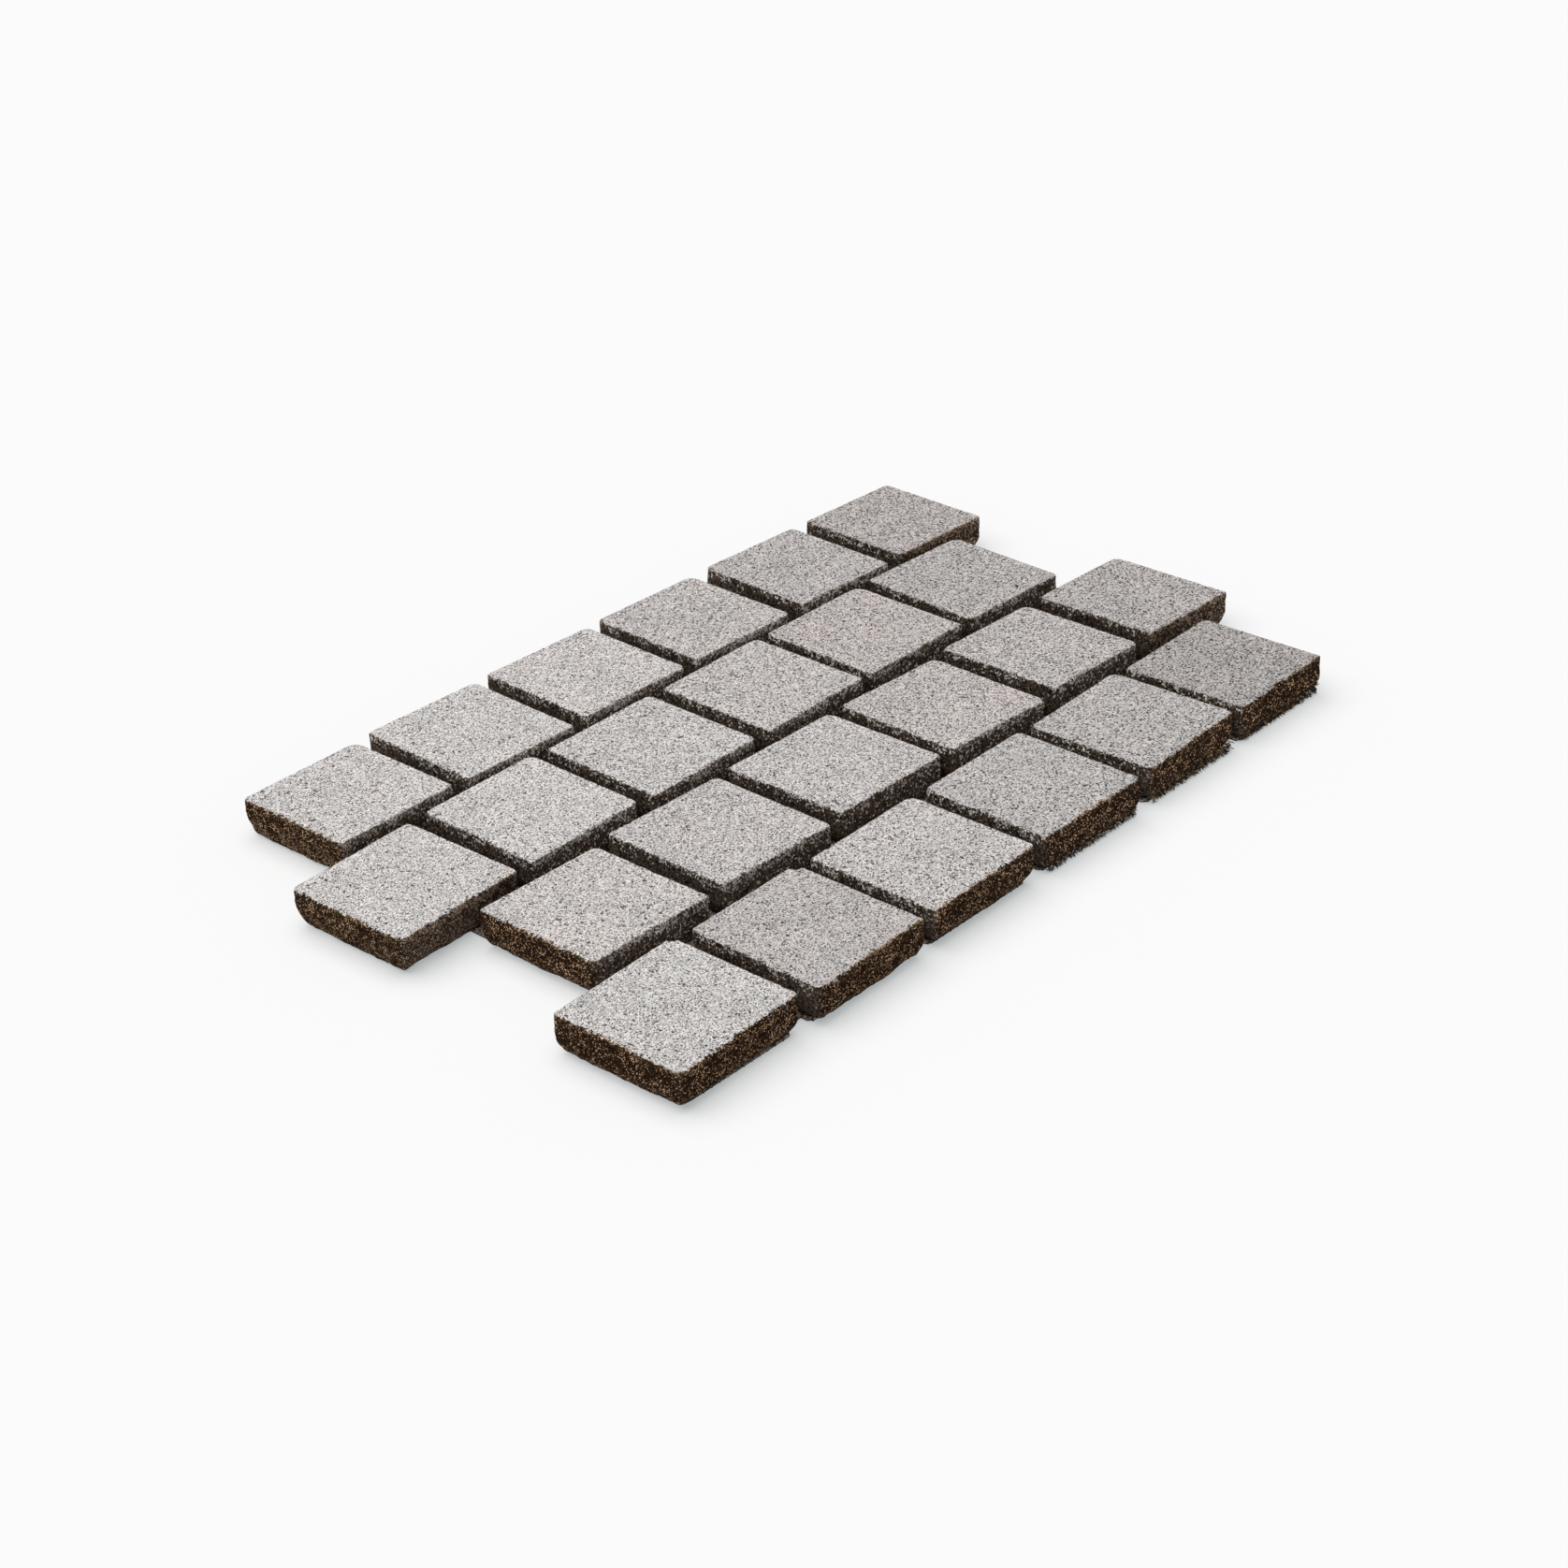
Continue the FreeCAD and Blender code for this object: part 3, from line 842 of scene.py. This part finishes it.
def crossings(outline, axis, value):
    """Where the line at value along one axis crosses the outline, as sorted pairs along the other axis."""
    hits = []
    for i, a in enumerate(outline):
        b = outline[(i + 1) % len(outline)]
        if (a[axis] - value) * (b[axis] - value) < 0:
            share = (value - a[axis]) / (b[axis] - a[axis])
            hits.append(a[1 - axis] + share * (b[1 - axis] - a[1 - axis]))
    hits.sort()
    return list(zip(hits[0::2], hits[1::2]))


RESIDUE_INPUTS = {
    "NodeSocketFloat": ("Length", "Thickness"), "NodeSocketInt": ("Fibres", "Seed"),
    "NodeSocketVector": ("Sweep",), "NodeSocketMaterial": ("Residue",),
}
# The fibres' common sweep and the seed of their lots. The lots follow, least and most of each: the lean
# that is added to the sweep, the distance from the line, and the scale.
RESIDUE_SWEEP = (0.0, -0.9, -0.5)
RESIDUE_SEED = 5
RESIDUE_LEAN = (-0.7, -0.4, -0.5), (0.7, 0.4, 0.5)
RESIDUE_SPREAD = (-1.0 * MM, -0.6 * MM, -1.6 * MM), (1.0 * MM, 1.4 * MM, 5.0 * MM)
RESIDUE_SCALE = (0.5, 0.5, 0.35), (1.2, 1.2, 1.2)
# Where the line that they hang from runs: in from the sett's near face, in from the ends of that face,
# and at the mat's end, in from the end face and back round the corner.
LINE_IN, LINE_ENDS, CORNER_IN, CORNER_BACK = 2.6 * MM, 5.0 * MM, 4.0 * MM, 6.0 * MM


def residue_tree():
    """Sheds short pointed fibres at random leans along a line of edges."""
    tree, given = new_geometry_tree("residue_fibres", RESIDUE_INPUTS)
    curve = tree.get("GeometryNodeMeshToCurve", {0: given["Geometry"]})
    points = tree.get("GeometryNodeCurveToPoints", {"Curve": curve, "Count": given["Fibres"]}, mode="COUNT")
    thickness = given["Thickness"]
    cone = tree.get("GeometryNodeMeshCone", {"Vertices": 4, "Radius Top": thickness * 0.1,
                                             "Radius Bottom": thickness * 0.5, "Depth": given["Length"]})

    def lots(least, most, offset):
        node = tree.add("FunctionNodeRandomValue", data_type="FLOAT_VECTOR")
        tree.feed(node.inputs[0], least)
        tree.feed(node.inputs[1], most)
        tree.feed(node.inputs["Seed"], given["Seed"] + offset)
        return Wire(tree, node.outputs[0])

    lean = tree.vector("ADD", given["Sweep"], lots(*RESIDUE_LEAN, 1.0))
    turn = tree.get("FunctionNodeAlignEulerToVector", {"Vector": lean}, axis="Z")
    spread = {"Geometry": points, "Offset": lots(*RESIDUE_SPREAD, 2.0)}
    points = tree.get("GeometryNodeSetPosition", spread)
    fibres = tree.get("GeometryNodeInstanceOnPoints", {"Points": points, "Instance": cone, "Rotation": turn,
                                                       "Scale": lots(*RESIDUE_SCALE, 3.0)})
    fibres = tree.get("GeometryNodeRealizeInstances", {"Geometry": fibres})
    x, y, z = tree.parts(tree.get("GeometryNodeInputPosition"))
    on_ground = tree.joined(x, y, z.at_least(0.1 * MM))
    fibres = tree.get("GeometryNodeSetPosition", {"Geometry": fibres, "Position": on_ground})
    return tree.close(fibres, given["Residue"])


def residue_material(sheet):
    """Dark brown fibres and crumbs of bedding."""
    material, tree, shader = new_material("residue")
    place = tree.get("ShaderNodeTexCoord", out="Object")
    speck = tree.chance(place, 1.4 * MM)
    skin = tree.ramp(speck, [(0.2, colour(12, 8, 6)), (0.6, sheet.residue), (0.8, colour(104, 80, 54)),
                             (0.95, colour(200, 168, 124))])
    tree.feed(shader.inputs["Base Color"], skin)
    tree.feed(shader.inputs["Roughness"], 0.85 + speck * 0.1)
    shader.inputs["Specular IOR Level"].default_value = 0.3
    return material


def residue_line(node):
    """The line that a sett's fibres hang from, along its near foot and round the mat's corner."""
    low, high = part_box(node)
    near = low.y + LINE_IN
    line = [(low.x + LINE_ENDS, near), (high.x - LINE_ENDS, near)]
    return line + ([(high.x - CORNER_IN, near + CORNER_BACK)] if node.endswith("c6") else [])


class SETTMAT_OT_residue(bpy.types.Operator):
    """Hangs fibrous residue on the feet of the setts towards the +X end of the near row"""

    bl_idname = "settmat.residue"
    bl_label = "Fibrous residue"

    def execute(self, context):
        sheet = context.scene.settmat_sheet
        points, edges = [], []
        for node in SHEDDING:
            line = residue_line(node)
            edges += [(len(points) + i, len(points) + i + 1) for i in range(len(line) - 1)]
            points += [(x, y, sheet.residue_height) for x, y in line]
        fibres = wire_object("residue_fibres", points, edges)
        grow(fibres, residue_tree(), {"Length": sheet.residue_length, "Thickness": sheet.residue_thickness,
                                      "Fibres": sheet.residue_count, "Sweep": RESIDUE_SWEEP,
                                      "Seed": RESIDUE_SEED, "Residue": residue_material(sheet)})
        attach(fibres, "root")
        return {"FINISHED"}


NET_INPUTS = {"NodeSocketFloat": ("Strand thickness",), "NodeSocketMaterial": ("Net",)}


def net_tree():
    """Lays a six-sided strand along every line of the net."""
    tree, given = new_geometry_tree("net_strands", NET_INPUTS)
    curve = tree.get("GeometryNodeMeshToCurve", {0: given["Geometry"]})
    section = {"Resolution": 6, "Radius": given["Strand thickness"] * 0.5}
    ring = tree.get("GeometryNodeCurvePrimitiveCircle", section, mode="RADIUS")
    swept = {"Curve": curve, "Profile Curve": ring, "Fill Caps": True}
    strands = tree.get("GeometryNodeCurveToMesh", swept)
    strands = tree.get("GeometryNodeSetShadeSmooth", {"Geometry": strands, "Shade Smooth": True})
    return tree.close(strands, given["Net"])


def net_lines(outline, sheet, low, high):
    """Straight strands both ways inside the outline, the lengthways ones over the crossways ones."""
    pitch, strand = sheet.strand_pitch, sheet.strand
    points = []
    edges = []
    for axis, z in ((1, high.z - strand / 2.0), (0, low.z + strand / 2.0)):
        value = low[axis] + pitch / 2.0
        while value < high[axis]:
            for start, end in crossings(outline, axis, value):
                for place in (start, end):
                    points.append((place, value, z) if axis == 1 else (value, place, z))
                edges.append((len(points) - 2, len(points) - 1))
            value += pitch
    return points, edges


def film_object(outline, middle, thickness, material):
    """A flat film inside the outline, half its thickness above and half below the middle level."""
    mesh = bpy.data.meshes.new("backing_film")
    shape = bmesh.new()
    face = shape.faces.new([shape.verts.new((x, y, middle - thickness / 2.0)) for x, y in outline])
    raised = bmesh.ops.extrude_face_region(shape, geom=[face])["geom"]
    bmesh.ops.translate(shape, verts=[v for v in raised if isinstance(v, bmesh.types.BMVert)],
                        vec=(0.0, 0.0, thickness))
    bmesh.ops.recalc_face_normals(shape, faces=shape.faces)
    bmesh.ops.triangulate(shape, faces=shape.faces)
    shape.to_mesh(mesh)
    shape.free()
    mesh.materials.append(material)
    return new_object("backing_film", mesh)


class SETTMAT_OT_sheet(bpy.types.Operator):
    """Makes the net backing and the film of adhesive that holds the setts on it"""

    bl_idname = "settmat.sheet"
    bl_label = "Net backing"

    def execute(self, context):
        sheet = context.scene.settmat_sheet
        material = net_material(sheet)
        outline = worn_outline(sheet_outline(), sheet.corner)
        low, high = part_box(SHEET_NODE)
        piece = film_object(outline, (low.z + high.z) / 2.0, sheet.film, material)
        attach(piece, "root")
        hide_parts(SHEET_NODE)

        net = wire_object("backing_net", *net_lines(outline, sheet, low, high))
        grow(net, net_tree(), {"Strand thickness": sheet.strand, "Net": material})
        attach(net, "root")
        return {"FINISHED"}


class SETTMAT_OT_stage(bpy.types.Operator):
    """Sets a plain pale floor, soft light and the camera"""

    bl_idname = "settmat.stage"
    bl_label = "Stage"

    def execute(self, context):
        scene = context.scene
        stage = scene.settmat_stage
        self.lay_floor(stage)
        self.hang_lights(scene, stage)
        self.place_camera(scene, stage)
        scene.view_settings.view_transform = "Standard"
        return {"FINISHED"}

    def lay_floor(self, stage):
        z = MAT_LOW[2] - FLOOR_GAP
        corners = [(x * FLOOR_HALF, y * FLOOR_HALF, z) for x, y in ((-1, -1), (1, -1), (1, 1), (-1, 1))]
        mesh = bpy.data.meshes.new("floor")
        mesh.from_pydata(corners, [], [(0, 1, 2, 3)])
        mesh.materials.append(floor_material(stage))
        floor = new_object("floor", mesh)

    def hang_lights(self, scene, stage):
        world = bpy.data.worlds.new("studio")
        world.use_nodes = True
        tree = Tree(world.node_tree)
        back = world.node_tree.nodes["Background"]
        back.inputs["Color"].default_value = WHITE
        tree.feed(back.inputs["Strength"], stage.sky + seen_rays(tree) * (stage.floor[1] - stage.sky))
        scene.world = world
        lamp = bpy.data.lights.new("soft_lamp", "SUN")
        lamp.energy = stage.lamp
        lamp.angle = stage.lamp_softness
        level = math.cos(stage.lamp_height)
        source = Vector((level * math.cos(stage.lamp_turn), level * math.sin(stage.lamp_turn),
                         math.sin(stage.lamp_height)))
        thing = new_object("soft_lamp", lamp)
        thing.rotation_euler = source.to_track_quat("Z", "Y").to_euler()

    def place_camera(self, scene, stage):
        lens = bpy.data.cameras.new("camera")
        lens.sensor_width = SENSOR_WIDTH
        lens.lens = SENSOR_WIDTH * FOCAL_PIXELS / FRAME_PIXELS
        lens.clip_start, lens.clip_end = CLIP
        level = math.cos(stage.camera_tip)
        ahead = Vector((level * math.sin(stage.camera_turn), level * math.cos(stage.camera_turn),
                        -math.sin(stage.camera_tip)))
        right = ahead.cross(Vector((0.0, 0.0, 1.0))).normalized()
        above = right.cross(ahead)
        basis = Matrix((right, above, -ahead)).transposed()
        roll = Matrix.Rotation(-stage.camera_roll, 3, "Z")
        camera = new_object("camera", lens)
        camera.matrix_world = Matrix.Translation(stage.camera_place) @ (basis @ roll).to_4x4()
        scene.camera = camera


class SETTMAT_PT_panel(bpy.types.Panel):
    """Lists the pieces of the sett mat"""

    bl_idname = "SETTMAT_PT_panel"
    bl_label = "Granite sett mat"
    bl_space_type = "VIEW_3D"
    bl_region_type = "UI"
    bl_category = "Sett Mat"

    def draw(self, context):
        scene = context.scene
        for operators, group in ((("settmat.setts",), scene.settmat_setts), ((), scene.settmat_stone),
                                 (("settmat.sheet", "settmat.residue"), scene.settmat_sheet),
                                 (("settmat.stage",), scene.settmat_stage)):
            column = self.layout.column(align=True)
            for operator in operators:
                column.operator(operator)
            for name in group.__annotations__:
                column.prop(group, name)


GROUPS = {"settmat_setts": SettSettings, "settmat_stone": StoneSettings, "settmat_sheet": SheetSettings,
          "settmat_stage": StageSettings}
CLASSES = tuple(GROUPS.values()) + (SETTMAT_OT_setts, SETTMAT_OT_sheet, SETTMAT_OT_residue,
                                     SETTMAT_OT_stage, SETTMAT_PT_panel)


def register():
    for cls in CLASSES:
        bpy.utils.register_class(cls)
    for name, group in GROUPS.items():
        setattr(bpy.types.Scene, name, PointerProperty(type=group))


def unregister():
    for name in GROUPS:
        delattr(bpy.types.Scene, name)
    for cls in reversed(CLASSES):
        bpy.utils.unregister_class(cls)


def main():
    register()
    bpy.ops.settmat.stage()
    bpy.ops.settmat.setts()
    bpy.ops.settmat.sheet()
    bpy.ops.settmat.residue()


if __name__ == "__main__":
    main()
